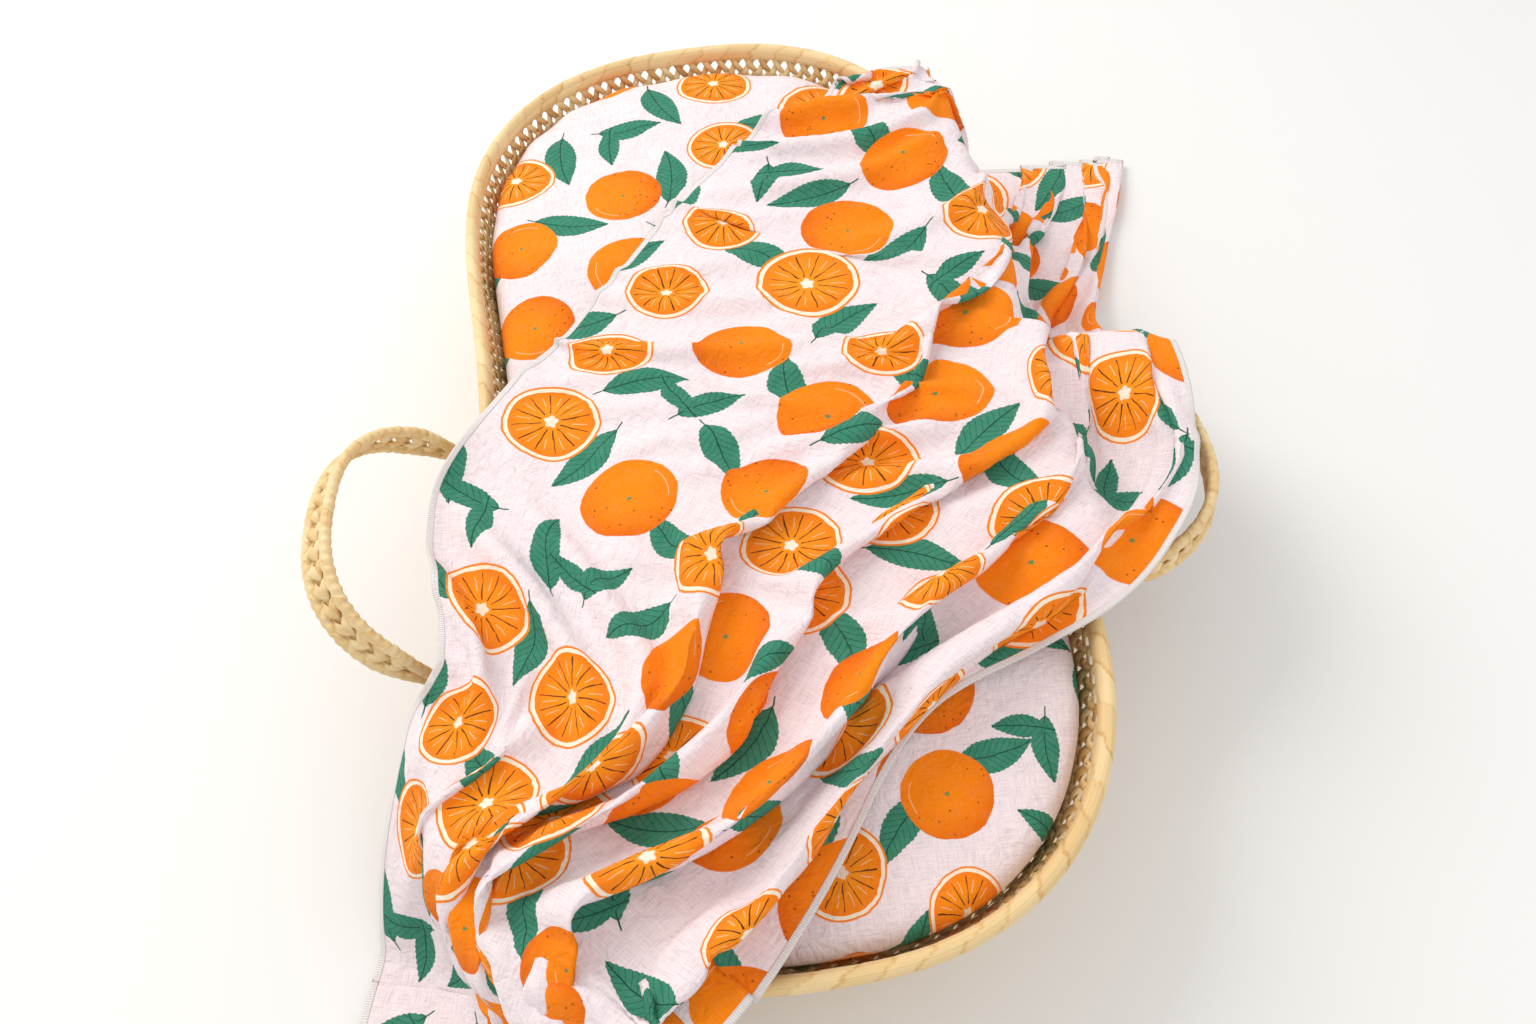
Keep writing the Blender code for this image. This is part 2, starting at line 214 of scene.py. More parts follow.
class Shading:
    """Short ways to set or link a socket and to add common nodes to a tree."""

    def __init__(self, tree):
        self.nodes, self.links = tree.nodes, tree.links

    def put(self, socket, value):
        if isinstance(value, tuple):
            socket.default_value = (*value, 1)
        elif isinstance(value, (int, float)):
            socket.default_value = value
        elif value is not None:
            self.links.new(value, socket)

    def op(self, kind, a=None, b=None, c=None):
        made = self.nodes.new("ShaderNodeMath")
        made.operation = kind
        for socket, value in zip(made.inputs, (a, b, c)):
            self.put(socket, value)
        return made.outputs[0]

    def below(self, value, edge, soft):
        """1 where value is under edge, fading over soft."""
        under = self.op("DIVIDE", self.op("SUBTRACT", edge, value), soft)
        return self.op("SMOOTH_MIN", self.op("MAXIMUM", under, 0.0), 1.0, 0.1)

    def mix(self, factor, a, b):
        made = self.nodes.new("ShaderNodeMix")
        made.data_type = "RGBA"
        for word, value in (("Factor", factor), ("A", a), ("B", b)):
            self.put(made.inputs[word], value)
        return made.outputs["Result"]

    def texture(self, kind, vector=None, stretch=None, **values):
        if stretch:
            mapping = self.nodes.new("ShaderNodeMapping")
            mapping.inputs["Scale"].default_value = stretch
            self.put(mapping.inputs["Vector"], vector)
            vector = mapping.outputs["Vector"]
        made = self.nodes.new(f"ShaderNodeTex{kind}")
        self.put(made.inputs["Vector"], vector)
        for word, value in values.items():
            made.inputs[word].default_value = value
        return made.outputs

    def bump(self, height, strength, distance, normal=None):
        made = self.nodes.new("ShaderNodeBump")
        for word, value in (("Height", height), ("Strength", strength), ("Distance", distance),
                            ("Normal", normal)):
            self.put(made.inputs[word], value)
        return made.outputs["Normal"]


def add_sockets(group, takes, gives):
    """Declares a group's inputs and outputs, and returns the sockets inside it."""
    for way, wanted in (("INPUT", takes), ("OUTPUT", gives)):
        for word, kind in wanted.items():
            group.interface.new_socket(name=word, in_out=way, socket_type=f"NodeSocket{kind}")
    return group.nodes.new("NodeGroupInput").outputs, group.nodes.new("NodeGroupOutput").inputs


def leaf_group():
    """Colour, roughness and height of dried palm leaf, streaked along its length."""
    group = bpy.data.node_groups.new("dried leaf", "ShaderNodeTree")
    into, out = add_sockets(group, {"Vector": "Vector", "Tone": "Float"},
                            {"Color": "Color", "Roughness": "Float", "Height": "Float"})
    kit = Shading(group)
    streak = kit.texture("Noise", into["Vector"], (22.0, 900.0, 1.0), Scale=1.0, Detail=3.0)["Fac"]
    blotch = kit.texture("Noise", into["Vector"], Scale=60.0)["Fac"]
    light = kit.op("MULTIPLY_ADD", into["Tone"], 0.42, blotch)
    light = kit.op("MULTIPLY_ADD", streak, 0.45, light)
    ramp = kit.nodes.new("ShaderNodeValToRGB")
    stops = ((0.40, (0.32, 0.135, 0.035)), (1.12, (0.91, 0.71, 0.39)),
             (0.60, (0.58, 0.31, 0.095)), (0.84, (0.78, 0.51, 0.20)))
    full = 1.2
    for number, (place, tint) in enumerate(stops):
        stop = (ramp.color_ramp.elements[number] if number < 2
                else ramp.color_ramp.elements.new(place / full))
        stop.position = place / full
        stop.color = (*tint, 1)
    kit.put(ramp.inputs["Fac"], kit.op("DIVIDE", light, full))
    speck = kit.texture("Noise", into["Vector"], Scale=330.0)["Fac"]
    few = kit.nodes.new("ShaderNodeMapRange")
    few.inputs["From Min"].default_value = 0.70
    few.inputs["From Max"].default_value = 0.78
    kit.put(few.inputs["Value"], speck)
    rough = kit.nodes.new("ShaderNodeMapRange")
    rough.inputs["To Min"].default_value = 0.34
    rough.inputs["To Max"].default_value = 0.58
    kit.put(rough.inputs["Value"], streak)
    kit.put(out["Color"], kit.mix(few.outputs["Result"], ramp.outputs["Color"], (0.10, 0.04, 0.015)))
    kit.put(out["Roughness"], rough.outputs["Result"])
    kit.put(out["Height"], streak)
    return group


DRIED_LEAF = leaf_group()


def leaf_material(name, tone_shift=0.0, bump=0.35, ribbons=True):
    """Dried leaf on ribbons that carry a tone each, or else on a plain solid."""
    made, look = new_material(name)
    kit = Shading(made.node_tree)
    leaf = kit.nodes.new("ShaderNodeGroup")
    leaf.node_tree = DRIED_LEAF
    where = kit.nodes.new("ShaderNodeTexCoord")
    kit.put(leaf.inputs["Vector"], where.outputs["UV" if ribbons else "Object"])
    if ribbons:
        tone = kit.nodes.new("ShaderNodeAttribute")
        tone.attribute_name = "tone"
        kit.put(leaf.inputs["Tone"], kit.op("ADD", tone.outputs["Fac"], tone_shift))
    else:
        kit.put(leaf.inputs["Tone"], 0.5 + tone_shift)
    kit.put(look["Base Color"], leaf.outputs["Color"])
    kit.put(look["Roughness"], leaf.outputs["Roughness"])
    kit.put(look["Normal"], kit.bump(leaf.outputs["Height"], bump, 0.0008))
    look["Specular IOR Level"].default_value = 0.45
    return made


def repaint(node, material):
    """Gives a CAD solid that stays in view its material."""
    painted = frame["nodes"][node].data.materials
    painted.clear()
    painted.append(material)


PLAIT_OVERLAP = 0.002
PLAITED_LEAF = leaf_material("plaited palm leaf")
SOLID_LEAF = leaf_material("pressed palm leaf", ribbons=False)

for course in range(4):
    outer = BASE_INSET + course * (BASE_COURSE + SEAM)
    node = f"base_course_{course + 1}" if course < 3 else "base_centre"
    ring = Oval(outer + BASE_COURSE / 2)

    def flat_band(u, v, n, ring=ring, outer=outer):
        spot = ring.point(u, outer + BASE_COURSE / 2 - v)
        return (spot.x, spot.y, BASE_THICK / 2 + n)

    mat = plait(f"base_plait_{course + 1}", ring.length, BASE_COURSE + PLAIT_OVERLAP, spacing=0.012,
                ribbon=0.0092, lift=0.0016, crossings=4, surface=flat_band, seed=course)
    mat.data.materials.append(PLAITED_LEAF)
    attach(mat, "basket")
    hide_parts(node)
for course in range(3):
    repaint(f"base_seam_{course + 1}", SOLID_LEAF)

CENTRE_STRIP = 0.46


def centre_strip(u, v, n):
    return (v, u - CENTRE_STRIP / 2, BASE_THICK / 2 - 0.0012 + n)


strip = plait("base_plait_centre", CENTRE_STRIP, BASE_COURSE, spacing=0.012, ribbon=0.0092,
              lift=0.0010, crossings=4, surface=centre_strip, seed=9)
strip.data.materials.append(PLAITED_LEAF)
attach(strip, "basket")
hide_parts("base_centre")


# Wall: courses of the same braid stood on edge and leaning outward, looser,
# so that diamond holes are left between the ribbons.
RIM_TOP = 0.130
RIM_RADIUS = 0.006
WALL_THICK = 0.005
WALL_SLOPE = (BASE_INSET + WALL_THICK / 2 - RIM_RADIUS) / (RIM_TOP - RIM_RADIUS - BASE_THICK)


def wall_inset(z):
    return RIM_RADIUS + WALL_SLOPE * (RIM_TOP - RIM_RADIUS - z)


wall_line = Oval(wall_inset(0.07))  # at half the wall's height
for course in range(3):
    low, high = (corner.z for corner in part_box(f"wall_course_{course + 1}"))
    braids = [(low, high, 0.0070, 4)]
    if course == 2:
        middle = (low + high) / 2
        braids = [(low, middle, 0.0074, 2), (middle, high, 0.0051, 2)]
    for part, (bottom, top, ribbon, crossings) in enumerate(braids):
        def wall_band(u, v, n, middle=(bottom + top) / 2):
            z = middle + v
            spot = wall_line.point(u, wall_inset(z) - n)
            return (spot.x, spot.y, z)

        band = plait(f"wall_plait_{course + 1}_{part + 1}", wall_line.length,
                     top - bottom + PLAIT_OVERLAP, 0.0128, ribbon, lift=0.0012,
                     crossings=crossings, surface=wall_band, seed=10 + course + 5 * part)
        band.data.materials.append(PLAITED_LEAF)
        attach(band, "basket")
        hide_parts(f"wall_course_{course + 1}")


# Seams: raffia twisted into a two-ply cord, laid between the courses.
def tube(name, centre, count, closed, sides, section, girth, skew=0.0):
    """A tube. centre(i) is point i of its middle line, with its sideways and upward directions.

    section(run, turn) is how far it reaches sideways and up, and its tone, at a distance run
    along it and an angle round it. girth and skew lay it out flat for the leaf's streaks.
    """
    bm = bmesh.new()
    uv = bm.loops.layers.uv.new("UVMap")
    tone = bm.verts.layers.float.new("tone")
    rings = []
    runs = []
    run = 0.0
    last = None
    for i in range(count if closed else count + 1):
        spot, side, up = centre(i)
        if last is not None:
            run += (spot - last).length
        last = spot
        runs.append(run)
        ring_verts = []
        for k in range(sides):
            across, rise, shade = section(run, 2 * math.pi * k / sides)
            vert = bm.verts.new(spot + side * across + up * rise)
            vert[tone] = shade
            ring_verts.append(vert)
        rings.append(ring_verts)
    total = len(rings)
    for i in range(total if closed else total - 1):
        after = (i + 1) % total
        far = runs[after] if after else run
        for k in range(sides):
            beside = (k + 1) % sides
            face = bm.faces.new((rings[i][k], rings[i][beside],
                                 rings[after][beside], rings[after][k]))
            for loop, (place, step) in zip(face.loops, ((runs[i], k), (runs[i], k + 1),
                                                        (far, k + 1), (far, k))):
                loop[uv].uv = (place + step * skew, step * girth)
    if not closed:
        bm.faces.new(rings[0][::-1])
        bm.faces.new(rings[-1])
    bmesh.ops.recalc_face_normals(bm, faces=bm.faces[:])
    return add_object(name, bm)


def oval_frame(angle, inset, z):
    """Point on the oval at a height, with its sideways and upward directions."""
    spot = oval_point(angle, inset)
    along = (oval_point(angle + 0.004, inset) - spot).normalized()
    return Vector((*spot, z)), Vector((along.y, -along.x, 0.0)), Vector((0, 0, 1))


CORD_RADIUS = 0.0024
CORD_PITCH = 0.012


def cord_section(run, turn):
    swell = abs(math.cos(turn - 2 * math.pi * run / CORD_PITCH))
    reach = CORD_RADIUS * (0.70 + 0.36 * swell)
    # The tone is lighter where each ply swells out and darker in the groove between plies: painted
    # shade in the twist.
    return math.cos(turn) * reach, math.sin(turn) * reach, 0.35 + 0.5 * swell


for course in range(3):
    low, high = (corner.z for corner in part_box(f"wall_seam_{course + 1}"))
    height = (low + high) / 2
    angles, _ = even_angles(900, wall_inset(height))

    def seam_line(i, height=height, angles=angles):
        return oval_frame(angles[i], wall_inset(height) - 0.0006, height)

    seam = tube(f"wall_seam_cord_{course + 1}", seam_line, 900, True, 10, cord_section,
                girth=0.6 * CORD_RADIUS)
    seam.data.materials.append(PLAITED_LEAF)
    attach(seam, "basket")
    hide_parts(f"wall_seam_{course + 1}")


# Rim: a reed hoop and the wall's edge, rolled together in long overlapping leaves.
def rolled_leaf(name, centre, count, pitch, slant, closed, outline, sides=20, step=0.10):
    """A tube wound with leaf. Every turn laps the one before it, so its edge stands proud."""
    def section(run, turn):
        across, rise = outline(turn)
        uneven = 0.30 * noise.noise(Vector((run * 38.0, math.cos(turn), math.sin(turn))))
        place = run / pitch + slant * turn / (2 * math.pi) + uneven
        lap = place - math.floor(place)
        edge = math.exp(-((lap - 0.06) / 0.06) ** 2)
        grow = 1.0 + step * (0.45 - lap * 0.55) * 0.8 - 0.07 * edge
        pick = math.sin(math.floor(place) * 12.9898) * 43758.5453
        # Darker along each lap's edge, in the groove cut there: painted shade.
        shade = 0.30 + 0.62 * (pick - math.floor(pick)) - 0.55 * edge
        return across * grow, rise * grow, shade

    return tube(name, centre, count, closed, sides, section, girth=0.0028, skew=0.1 * slant)


RIM_SKIRT = 0.010
RIM_ROLL = 0.0053
RIM_STEPS = 1400
rim_angles, _ = even_angles(RIM_STEPS, RIM_RADIUS)


def rim_centre(i):
    return oval_frame(rim_angles[i], RIM_RADIUS, RIM_TOP - RIM_RADIUS)


def rim_outline(turn):
    across, rise = math.cos(turn), math.sin(turn)
    if rise < 0:
        reach = RIM_ROLL * (1 - 0.22 * rise * rise)
        return across * reach + RIM_SKIRT * rise * WALL_SLOPE * 0.8, RIM_SKIRT * 0.8 * rise
    return across * RIM_ROLL, rise * RIM_RADIUS


rim = rolled_leaf("rim_roll", rim_centre, RIM_STEPS, 0.024, -1.5, True, rim_outline)
RIM_LEAF = leaf_material("rim leaf", tone_shift=0.12, bump=0.5)
rim.data.materials.append(RIM_LEAF)
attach(rim, "basket")
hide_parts("rim_wrap")
repaint("rim_hoop", SOLID_LEAF)


# Handles: a braid of thick leaf strands between two rolled edges, narrowing to its ends.
# The ends are turned over into eyes, and raffia lashings tie these to the wall.
SPAN = 0.090
LOOP_HEIGHT = 0.104
EYE = 0.0060
STRAP = 0.0225
ROOT = 0.042
EDGE_START = 0.003
EDGE_STEPS = 300
ARCH_STEPS = 1500
LEANS = {"left": math.radians(42.0), "right": math.radians(78.0)}


def arch_point(share):
    turn = math.pi * share
    s = math.copysign(abs(math.cos(turn)) ** (2 / OVAL_POWER), math.cos(turn))
    return Vector((-SPAN * s, EYE + (LOOP_HEIGHT - EYE) * abs(math.sin(turn)) ** (2 / OVAL_POWER)))


arch_fine = [arch_point(i / ARCH_STEPS) for i in range(ARCH_STEPS + 1)]
arch_run = np.concatenate([[0], np.cumsum([(b - a).length
                                           for a, b in zip(arch_fine, arch_fine[1:])])])
ARCH = arch_run[-1]


def arch_at(distance):
    """Point and outward normal of the loop at a distance along it."""
    distance = min(max(distance, 0.0), ARCH)
    share = float(np.interp(distance, arch_run, np.linspace(0, 1, ARCH_STEPS + 1))) * ARCH_STEPS
    first = min(max(int(share), 1), ARCH_STEPS - 1)
    along = (arch_fine[first + 1] - arch_fine[first - 1]).normalized()
    return arch_fine[first].lerp(arch_fine[first + 1], share - first), Vector((-along.y, along.x))


def handle_frame(word):
    joint = next(j for j in frame["joints"] if j["name"] == f"{word}_handle_swing")
    hinge = Vector(joint["axis"]).normalized()
    up = Vector((0, 0, 1))
    pose = Matrix((hinge.cross(up), hinge, up)).transposed().to_4x4()
    return Matrix.Translation(joint["pos_m"]) @ pose @ Matrix.Rotation(LEANS[word], 4, "Y")


def taper(distance):
    """Share of the strap's full width at a distance along it."""
    near = min(distance, ARCH - distance)
    share = min(1.0, max(0.0, (near - 0.004) / ROOT))
    return 0.32 + 0.68 * share * share * (3 - 2 * share)


HANDLE_LEAF = leaf_material("handle leaf", tone_shift=0.20, bump=0.5)
for word, seed in (("left", 30), ("right", 32)):
    place = handle_frame(word)

    def strap_band(u, v, n, place=place):
        spot, normal = arch_at(u)
        spot = spot + normal * n
        return place @ Vector((v * taper(u), spot.x, spot.y))

    strap = plait(f"{word}_handle_braid", ARCH, STRAP, spacing=0.0132, ribbon=0.0074, lift=0.0013,
                  crossings=3, surface=strap_band, seed=seed, lanes=4, crown=0.0010,
                  thickness=0.0014)
    strap.data.materials.append(HANDLE_LEAF)
    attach(strap, f"{word}_handle")
    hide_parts(f"{word}_handle_strap")
    for edge, way in (("inner", -1), ("outer", 1)):
        def edge_line(i, place=place, way=way):
            distance = EDGE_START + (ARCH - 2 * EDGE_START) * i / EDGE_STEPS
            spot, normal = arch_at(distance)
            weave = 0.0006 * math.sin(2 * math.pi * distance / 0.0066)
            across = way * (STRAP / 2 + 0.0005 + weave) * taper(distance)
            facing = place.to_3x3()
            return (place @ Vector((across, spot.x, spot.y)), facing @ Vector((1, 0, 0)),
                    facing @ Vector((0, normal.x, normal.y)))

        def edge_outline(turn):
            return 0.0040 * math.cos(turn), 0.0036 * math.sin(turn)

        roll = rolled_leaf(f"{word}_handle_roll_{edge}", edge_line, EDGE_STEPS, 0.0132, 1.3 * way,
                           False, edge_outline, sides=14, step=0.26)
        roll.data.materials.append(RIM_LEAF)
        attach(roll, f"{word}_handle")
        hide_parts(f"{word}_handle_edge_{edge}")
    for end in ("head", "foot"):
        for piece in ("eye", "lashing"):
            repaint(f"{word}_handle_{piece}_{end}", SOLID_LEAF)


# Mattress cover: a fitted sheet of double muslin, pulled over a foam oval and drawn
# in under it with elastic. The foam fills it, so it is crowned and smooth on top.
SHEET_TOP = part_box("fitted_sheet")[1].z
SHEET_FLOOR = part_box("fitted_sheet")[0].z
SHEET_STATIONS = 220
CROWN = 0.010


def printed_leaf_group():
    """One printed leaf lying along an angle, with a dark midrib and slanting side veins."""
    group = bpy.data.node_groups.new("printed leaf", "ShaderNodeTree")
    into, out = add_sockets(group, {"X": "Float", "Y": "Float", "Angle": "Float", "Length": "Float"},
                            {"Mask": "Float", "Vein": "Float"})
    kit = Shading(group)
    put, op, below = kit.put, kit.op, kit.below
    x, y, angle, length = (into[word] for word in ("X", "Y", "Angle", "Length"))
    cosine, sine = op("COSINE", angle), op("SINE", angle)
    along = op("ADD", op("MULTIPLY", x, cosine), op("MULTIPLY", y, sine))
    across = op("SUBTRACT", op("MULTIPLY", y, cosine), op("MULTIPLY", x, sine))
    bend = op("MULTIPLY", op("MULTIPLY", along, along), 4.0)
    across = op("SUBTRACT", across, bend)
    share = op("DIVIDE", along, length)
    fat = op("MULTIPLY", op("SUBTRACT", 1.0, op("MULTIPLY", share, share)),
             op("SUBTRACT", 1.0, op("MULTIPLY", share, 0.28)))
    half = op("MULTIPLY", op("MULTIPLY", fat, length), 0.40)
    size = op("ABSOLUTE", across)
    teeth = op("MULTIPLY", op("SINE", op("MULTIPLY", along, 1500.0)), 0.0003)
    leaf_mask = below(size, op("ADD", half, teeth), 0.0006)
    stem = op("MULTIPLY", below(size, 0.0008, 0.0004),
              op("MULTIPLY", below(along, 0.0, 0.001),
                 below(op("MULTIPLY", along, -1.0), op("MULTIPLY", length, 1.22), 0.001)))
    put(out["Mask"], op("MAXIMUM", leaf_mask, stem))
    slant = op("FRACT", op("DIVIDE", op("SUBTRACT", along, op("MULTIPLY", size, 0.9)), 0.0058))
    side_vein = below(op("ABSOLUTE", op("SUBTRACT", slant, 0.5)), 0.085, 0.06)
    rib = below(size, 0.0007, 0.0004)
    put(out["Vein"], op("MAXIMUM", op("MULTIPLY", side_vein, 0.8), rib))

    return group


PRINTED_LEAF = printed_leaf_group()
FULL_TURN = 2 * math.pi


def print_group():
    """Oranges, cut oranges and leaves printed on muslin. Vector is the cloth's flat place in metres."""
    group = bpy.data.node_groups.new("fruit print", "ShaderNodeTree")
    into, out = add_sockets(group, {"Vector": "Vector"}, {"Color": "Color", "Thread": "Float"})
    kit = Shading(group)
    nodes, put, op, below, mix = group.nodes, kit.put, kit.op, kit.below, kit.mix
    shake = kit.texture("Noise", into["Vector"], Scale=90.0)["Fac"]
    parts = nodes.new("ShaderNodeSeparateXYZ")
    put(parts.inputs["Vector"], into["Vector"])
    wobble = op("MULTIPLY", op("SUBTRACT", shake, 0.5), 0.0022)
    u = op("ADD", parts.outputs["X"], wobble)
    v = op("SUBTRACT", parts.outputs["Y"], wobble)
    pitch = 0.090

    def cell(shift_u, shift_v, seed, jitter):
        """Local place in a half-drop repeat, with four random numbers for its motif."""
        across_cells = op("ADD", op("DIVIDE", u, pitch), shift_u)
        column = op("FLOOR", across_cells)
        down_cells = op("ADD", op("ADD", op("DIVIDE", v, pitch), shift_v),
                        op("MULTIPLY", column, 0.5))
        row = op("FLOOR", down_cells)
        place = nodes.new("ShaderNodeCombineXYZ")
        put(place.inputs["X"], column)
        put(place.inputs["Y"], row)
        put(place.inputs["Z"], float(seed))
        dice = kit.texture("WhiteNoise", place.outputs["Vector"])
        split = nodes.new("ShaderNodeSeparateColor")
        put(split.inputs["Color"], dice["Color"])
        chance = (*(split.outputs[word] for word in ("Red", "Green", "Blue")), dice["Value"])
        local = []
        for cells, whole, pick in ((across_cells, column, chance[0]), (down_cells, row, chance[1])):
            inside = op("SUBTRACT", op("SUBTRACT", cells, whole), 0.5)
            nudge = op("MULTIPLY", op("SUBTRACT", pick, 0.5), jitter)
            local.append(op("MULTIPLY", op("ADD", inside, nudge), pitch))
        return local[0], local[1], chance

    def leaf(x, y, angle, length):
        made = nodes.new("ShaderNodeGroup")
        made.node_tree = PRINTED_LEAF
        for word, value in (("X", x), ("Y", y), ("Angle", angle), ("Length", length)):
            put(made.inputs[word], value)
        return made.outputs["Mask"], made.outputs["Vein"]

    # Cloth and its threads.
    threads = [kit.texture("Noise", into["Vector"], stretch, Scale=1.0, Detail=1.0)["Fac"]
               for stretch in ((60.0, 1500.0, 1.0), (1500.0, 60.0, 1.0))]
    thread = op("MULTIPLY", op("ADD", *threads), 0.5)
    put(out["Thread"], thread)
    open_weave = below(thread, 0.50, 0.10)
    cloth = mix(open_weave, (0.93, 0.815, 0.835), (0.78, 0.655, 0.71))

    # Loose leaves in the gaps between the fruit.
    x, y, chance = cell(0.5, 0.25, 3, 0.12)
    spin = op("MULTIPLY", chance[2], FULL_TURN)
    loose_mask, loose_vein = leaf(x, y, spin, 0.034)
    some = op("LESS_THAN", chance[3], 0.80)
    leaf_green = mix(shake, (0.030, 0.205, 0.125), (0.060, 0.290, 0.190))
    leaf_dark = (0.010, 0.080, 0.050)
    leaf_colour = mix(loose_vein, leaf_green, leaf_dark)
    cloth = mix(op("MULTIPLY", loose_mask, some), cloth, leaf_colour)

    # Fruit, or a pair of leaves on one stalk.
    x, y, chance = cell(0.0, 0.0, 8, 0.10)
    radius = op("SQRT", op("ADD", op("MULTIPLY", x, x), op("MULTIPLY", y, y)))
    turn = op("ADD", op("ARCTAN2", y, x), op("MULTIPLY", chance[2], FULL_TURN))
    size = op("MULTIPLY_ADD", chance[1], 0.0085, 0.0315)
    lumpy = op("ADD", op("MULTIPLY", op("SINE", op("MULTIPLY", turn, 2.0)), 0.028),
               op("MULTIPLY", op("SINE", op("MULTIPLY_ADD", turn, 5.0, 1.3)), 0.010))
    edge = op("MULTIPLY", size, op("ADD", 1.0, lumpy))
    share = op("DIVIDE", radius, edge)
    is_leaf = op("GREATER_THAN", chance[3], 0.80)
    is_slice = op("LESS_THAN", chance[3], 0.40)
    fruit_mask = below(radius, edge, 0.0007)
    # Whole fruit: a darker side, brown pores, a pale stroke of light and a green navel.
    dark_side = op("MULTIPLY_ADD", op("COSINE", turn), 0.5, 0.5)
    dark_side = op("MULTIPLY", dark_side, op("POWER", share, 2.0))
    skin = mix(dark_side, (1.0, 0.245, 0.002), (0.74, 0.110, 0.001))
    skin = mix(op("MULTIPLY", shake, 0.35), skin, (1.0, 0.31, 0.012))
    pores = kit.texture("Voronoi", into["Vector"], Scale=165.0)["Distance"]
    pore = op("MULTIPLY", below(pores, 0.19, 0.10),
              op("GREATER_THAN", op("ADD", share, op("MULTIPLY", op("COSINE", turn), 0.45)), 0.62))
    skin = mix(op("MULTIPLY", pore, 0.75), skin, (0.16, 0.045, 0.006))
    stroke = op("MULTIPLY", below(op("ABSOLUTE", op("SUBTRACT", share, 0.80)), 0.016, 0.02),
                op("GREATER_THAN", op("COSINE", op("ADD", turn, 2.2)), 0.90))
    skin = mix(op("MULTIPLY", stroke, 0.8), skin, (1.0, 0.80, 0.50))
    navel = below(share, op("MULTIPLY_ADD", op("SINE", op("MULTIPLY", turn, 6.0)), 0.018, 0.055), 0.02)
    skin = mix(navel, skin, (0.10, 0.28, 0.09))
    # Cut fruit: rind, pith, flesh and dark lines between its segments.
    flesh = mix(op("MULTIPLY", share, share), (1.0, 0.31, 0.010), (0.96, 0.20, 0.004))
    count = 12.0  # segments
    ray = op("ABSOLUTE", op("SUBTRACT", op("FRACT", op("MULTIPLY", turn, count / FULL_TURN)), 0.5))
    off_line = op("MULTIPLY", op("MULTIPLY", ray, FULL_TURN / count), radius)
    ray_width = op("MULTIPLY_ADD", shake, 0.0011, 0.0001)
    line = op("MULTIPLY", below(off_line, ray_width, 0.0005),
              op("MULTIPLY", below(share, 0.80, 0.03), op("GREATER_THAN", share, 0.20)))
    pale_ray = op("ABSOLUTE", op("SUBTRACT", op("FRACT", op("MULTIPLY_ADD", turn, count / FULL_TURN,
                                                             0.42)), 0.5))
    pale_line = op("MULTIPLY", below(op("MULTIPLY", op("MULTIPLY", pale_ray, FULL_TURN / count),
                                        radius), 0.00045, 0.0004),
                   op("MULTIPLY", below(share, 0.72, 0.02), op("GREATER_THAN", share, 0.42)))
    flesh = mix(op("MULTIPLY", pale_line, 0.75), flesh, (1.0, 0.80, 0.52))
    flesh = mix(line, flesh, (0.075, 0.022, 0.006))
    heart = below(op("ADD", share, op("MULTIPLY", op("SINE", op("MULTIPLY", turn, 5.0)), 0.02)),
                  0.14, 0.03)
    flesh = mix(heart, flesh, (0.98, 0.87, 0.70))
    pith = op("GREATER_THAN", op("ADD", share, op("MULTIPLY", wobble, 20.0)), 0.865)
    flesh = mix(pith, flesh, (0.98, 0.86, 0.68))
    rind = op("GREATER_THAN", share, 0.945)
    flesh = mix(rind, flesh, (0.96, 0.245, 0.010))
    fruit = mix(is_slice, skin, flesh)
    cloth = mix(op("MULTIPLY", fruit_mask, op("SUBTRACT", 1.0, is_leaf)), cloth, fruit)
    stalk = 0.019
    for tilt, reach in ((0.85, 0.028), (-0.80, 0.024)):
        angle = op("ADD", op("MULTIPLY", chance[2], FULL_TURN), tilt)
        shift_x = op("MULTIPLY", op("COSINE", angle), stalk)
        shift_y = op("MULTIPLY", op("SINE", angle), stalk)
        pair_mask, pair_vein = leaf(op("SUBTRACT", x, shift_x), op("SUBTRACT", y, shift_y),
                                    angle, reach)
        cloth = mix(op("MULTIPLY", pair_mask, is_leaf), cloth,
                    mix(pair_vein, leaf_green, leaf_dark))
    faded = mix(op("MULTIPLY", open_weave, 0.035), cloth, (0.93, 0.85, 0.86))
    put(out["Color"], faded)
    return group


FRUIT_PRINT = print_group()


def muslin_material(name, crinkle):
    made, look = new_material(name)
    kit = Shading(made.node_tree)
    where = kit.nodes.new("ShaderNodeTexCoord").outputs["UV"]
    printed = kit.nodes.new("ShaderNodeGroup")
    printed.node_tree = FRUIT_PRINT
    kit.put(printed.inputs["Vector"], where)
    puckers = kit.texture("Noise", where, Scale=70.0, Detail=4.0, Distortion=1.4)["Fac"]
    puckered = kit.bump(puckers, crinkle, 0.004)
    kit.put(look["Base Color"], printed.outputs["Color"])
    kit.put(look["Normal"], kit.bump(printed.outputs["Thread"], 0.35, 0.0008, puckered))
    look["Roughness"].default_value = 0.88
    look["Specular IOR Level"].default_value = 0.12
    look["Sheen Weight"].default_value = 0.02
    return made


def sheet_point(angle, inset, z, crown):
    spot = oval_point(angle, inset)
    pucker = 0.0016 * math.sin(23 * angle + 2.0 * math.sin(3 * angle))
    ripple = noise.noise(Vector((spot.x * 9, spot.y * 9, 2.0))) * 0.006
    ripple += noise.noise(Vector((spot.x * 30, spot.y * 22, 5.0))) * 0.0022
    return Vector((*spot, z + crown * CROWN + ripple * min(1.0, crown * 2 + 0.25)
                   + pucker * (1 - crown) * (z > SHEET_TOP * 0.8)))


SHEET_GAP = 0.0018
